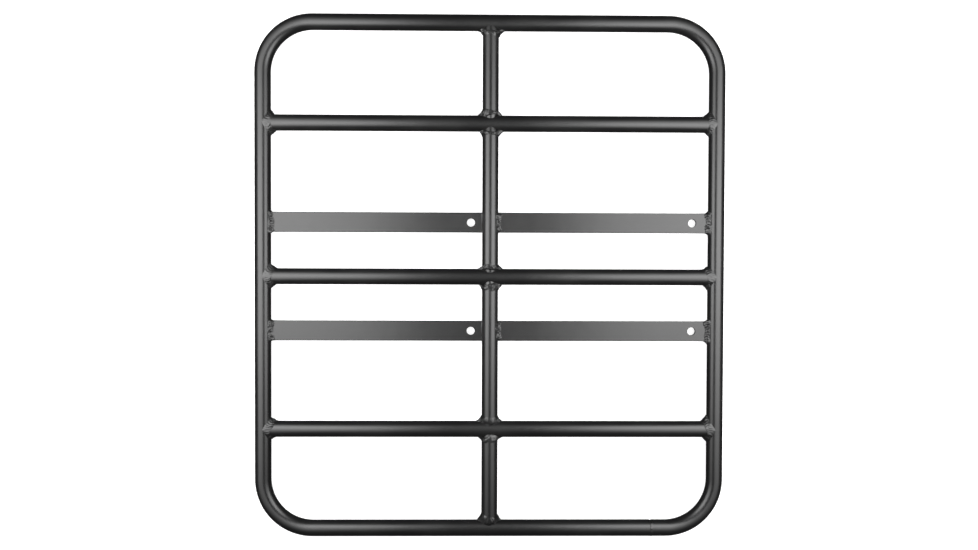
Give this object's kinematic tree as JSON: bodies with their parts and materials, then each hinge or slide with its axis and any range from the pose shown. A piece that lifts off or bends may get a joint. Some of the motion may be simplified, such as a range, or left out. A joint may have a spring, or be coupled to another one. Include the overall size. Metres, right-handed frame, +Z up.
{
  "type": "luggage rack",
  "caption": "Rigid welded tubular luggage rack: round-cornered tube ring, cross tubes, centre spine and flat mounting straps with bolt holes, satin black.",
  "frame": {"origin": "centre of the rack's base, under the middle of the tubes' lower edges", "axes": "lying flat: +X across the rack to the right, +Y along it from the lower rail to the upper rail, +Z up, out of the side that carries the luggage"},
  "size_m": [0.585, 0.65, 0.02],
  "materials": {
    "powder_coat": "satin black powder coat"
  },
  "bodies": {
    "root": {"outer_ring": "powder_coat", "upper_crossbar": "powder_coat", "middle_crossbar": "powder_coat", "lower_crossbar": "powder_coat", "spine_top": "powder_coat", "spine_upper_middle": "powder_coat", "spine_lower_middle": "powder_coat", "spine_bottom": "powder_coat", "strap_upper_left": "powder_coat", "strap_upper_right": "powder_coat", "strap_lower_left": "powder_coat", "strap_lower_right": "powder_coat", "weld_upper_left": "powder_coat", "weld_upper_right": "powder_coat", "weld_spine_above_upper": "powder_coat", "weld_spine_below_upper": "powder_coat", "weld_middle_left": "powder_coat", "weld_middle_right": "powder_coat", "weld_spine_above_middle": "powder_coat", "weld_spine_below_middle": "powder_coat", "weld_lower_left": "powder_coat", "weld_lower_right": "powder_coat", "weld_spine_above_lower": "powder_coat", "weld_spine_below_lower": "powder_coat", "weld_spine_top_rail": "powder_coat", "weld_spine_bottom_rail": "powder_coat", "weld_strap_upper_left_rail": "powder_coat", "weld_strap_upper_left_spine": "powder_coat", "weld_strap_upper_right_spine": "powder_coat", "weld_strap_upper_right_rail": "powder_coat", "weld_strap_lower_left_rail": "powder_coat", "weld_strap_lower_left_spine": "powder_coat", "weld_strap_lower_right_spine": "powder_coat", "weld_strap_lower_right_rail": "powder_coat", "weld_ring_seam": "powder_coat"}
  },
  "joints": []
}
